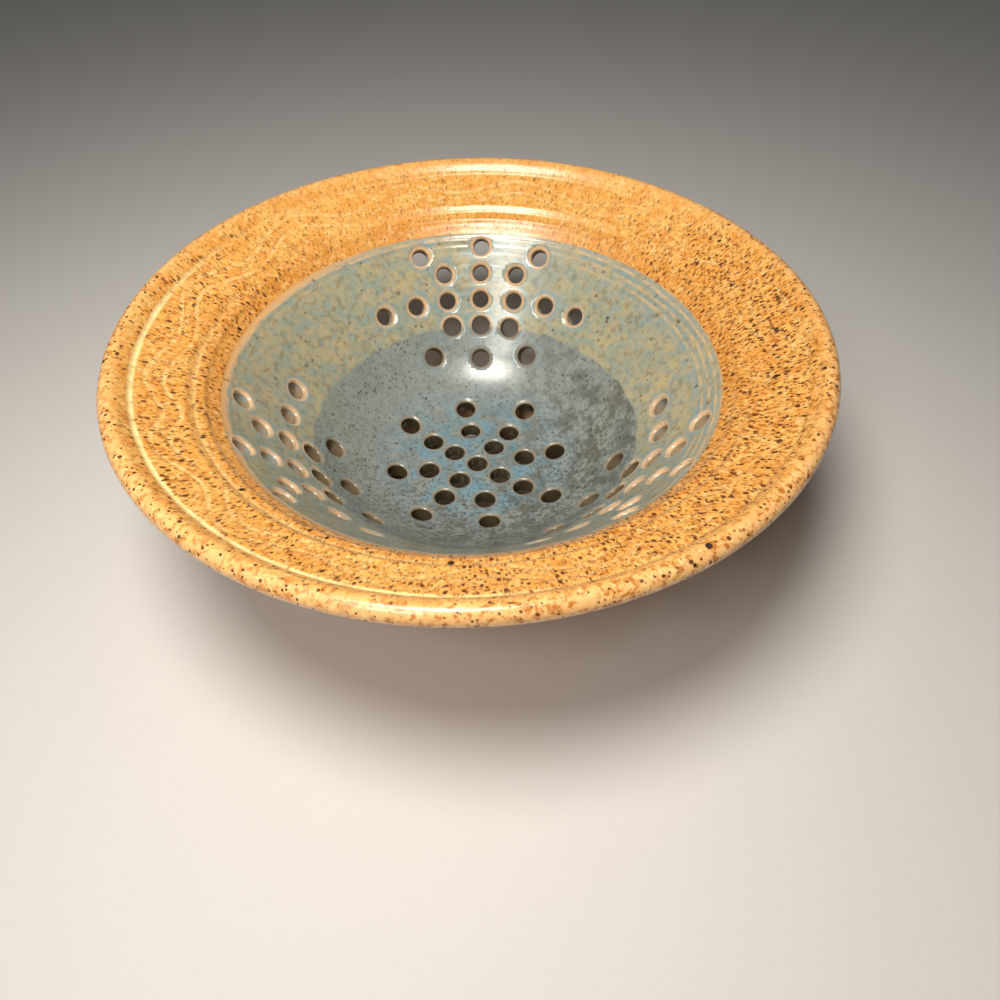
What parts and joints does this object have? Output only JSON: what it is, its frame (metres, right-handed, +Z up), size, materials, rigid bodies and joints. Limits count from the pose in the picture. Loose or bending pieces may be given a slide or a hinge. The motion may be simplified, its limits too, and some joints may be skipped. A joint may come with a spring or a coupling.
{
  "type": "berry colander bowl",
  "caption": "Wheel-thrown stoneware bowl with a wide sloping flange, a rounded lip, a foot ring and star patterns of round drain holes in its floor and wall, for rinsing and draining berries.",
  "frame": {"origin": "middle of the foot ring on the surface that the bowl stands on", "axes": "+Z up along the axis the bowl was turned on; -Y is the side that the picture looks from"},
  "size_m": [0.21, 0.21, 0.0775],
  "materials": {
    "clay": "bare fired stoneware with iron specks",
    "slate_glaze": "satin slate-grey glaze with fine dark specks",
    "sage_glaze": "satin sage and blue-green glaze with ochre mottling",
    "tan_glaze": "glossy golden tan glaze, freckled with iron brown"
  },
  "bodies": {
    "root": {"clay_bowl": "clay", "foot_ring": "clay", "floor_glaze": "slate_glaze", "wall_glaze": "sage_glaze", "flange_glaze": "tan_glaze", "outside_glaze": "tan_glaze"}
  },
  "joints": []
}
